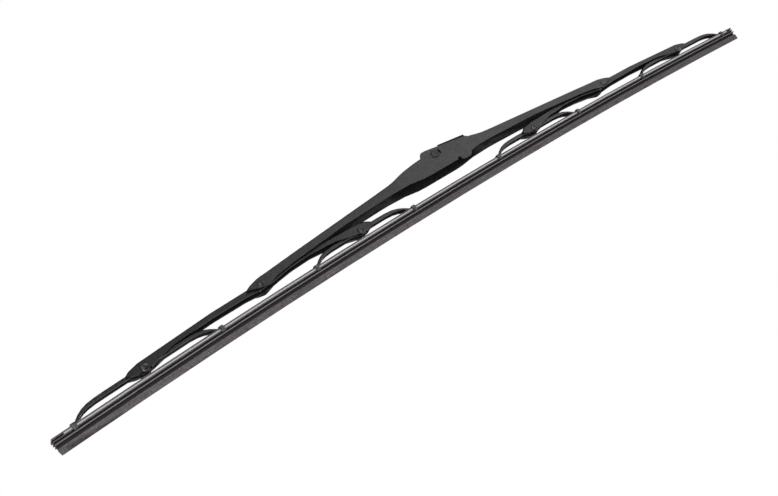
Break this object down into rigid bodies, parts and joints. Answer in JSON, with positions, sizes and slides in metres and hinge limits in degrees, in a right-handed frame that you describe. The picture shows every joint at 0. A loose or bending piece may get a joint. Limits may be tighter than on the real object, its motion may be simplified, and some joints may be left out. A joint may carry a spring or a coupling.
{
  "type": "wiper blade",
  "caption": "Frame-type wiper blade: an arched bridge on rocking yokes whose claws press a rubber lip on spring rails evenly onto a windscreen.",
  "frame": {"origin": "centre of the connector pin in the middle of the main bridge", "axes": "+X along the blade, +Z away from the glass, +Y across the blade; the wiping lip points to -Z"},
  "size_m": [0.6502, 0.0152, 0.0478],
  "materials": {
    "black_paint": "semi-matt black paint",
    "pin_steel": "dark steel",
    "spring_steel": "bright strip",
    "rubber": "matt",
    "black_plastic": "moulded"
  },
  "bodies": {
    "bridge": {"main_bridge": "black_paint", "connector_pin": "pin_steel", "left_bridge_rivet": "black_paint", "right_bridge_rivet": "black_paint", "wiper_rubber": "rubber", "near_rail": "spring_steel", "far_rail": "spring_steel"},
    "adapter": {"arm_adapter": "black_plastic"},
    "left_secondary": {"left_secondary_yoke": "black_paint", "left_outer_rivet": "black_paint", "left_inner_rivet": "black_paint", "left_bridge_liner": "black_plastic"},
    "left_outer_claws": {"left_outer_claw_yoke": "black_paint", "left_outer_liner": "black_plastic"},
    "left_inner_claws": {"left_inner_claw_yoke": "black_paint", "left_inner_liner": "black_plastic"},
    "right_secondary": {"right_secondary_yoke": "black_paint", "right_outer_rivet": "black_paint", "right_inner_rivet": "black_paint", "right_bridge_liner": "black_plastic"},
    "right_outer_claws": {"right_outer_claw_yoke": "black_paint", "right_outer_liner": "black_plastic"},
    "right_inner_claws": {"right_inner_claw_yoke": "black_paint", "right_inner_liner": "black_plastic"}
  },
  "joints": [
    {"name": "adapter_swing", "type": "hinge", "parent": "bridge", "child": "adapter", "pos_m": [0, 0, 0], "axis": [0, 1, 0], "range_deg": [-35, 12]},
    {"name": "left_secondary_rock", "type": "hinge", "parent": "bridge", "child": "left_secondary", "pos_m": [-0.16848, 0, -0.0172], "axis": [0, 1, 0], "range_deg": [-2.5, 4], "stiffness_Nm_per_rad": 1.5, "deforming": ["wiper_rubber", "near_rail", "far_rail"]},
    {"name": "left_outer_claws_rock", "type": "hinge", "parent": "left_secondary", "child": "left_outer_claws", "pos_m": [-0.25894, 0, -0.02446], "axis": [0, 1, 0], "range_deg": [-3, 3], "stiffness_Nm_per_rad": 0.4, "deforming": ["wiper_rubber", "near_rail", "far_rail"]},
    {"name": "left_inner_claws_rock", "type": "hinge", "parent": "left_secondary", "child": "left_inner_claws", "pos_m": [-0.08627, 0, -0.01978], "axis": [0, 1, 0], "range_deg": [-3, 3], "stiffness_Nm_per_rad": 0.4, "deforming": ["wiper_rubber", "near_rail", "far_rail"]},
    {"name": "right_secondary_rock", "type": "hinge", "parent": "bridge", "child": "right_secondary", "pos_m": [0.16848, 0, -0.0172], "axis": [0, 1, 0], "range_deg": [-4, 2.5], "stiffness_Nm_per_rad": 1.5, "deforming": ["wiper_rubber", "near_rail", "far_rail"]},
    {"name": "right_outer_claws_rock", "type": "hinge", "parent": "right_secondary", "child": "right_outer_claws", "pos_m": [0.25894, 0, -0.02446], "axis": [0, 1, 0], "range_deg": [-3, 3], "stiffness_Nm_per_rad": 0.4, "deforming": ["wiper_rubber", "near_rail", "far_rail"]},
    {"name": "right_inner_claws_rock", "type": "hinge", "parent": "right_secondary", "child": "right_inner_claws", "pos_m": [0.08627, 0, -0.01978], "axis": [0, 1, 0], "range_deg": [-3, 3], "stiffness_Nm_per_rad": 0.4, "deforming": ["wiper_rubber", "near_rail", "far_rail"]}
  ]
}
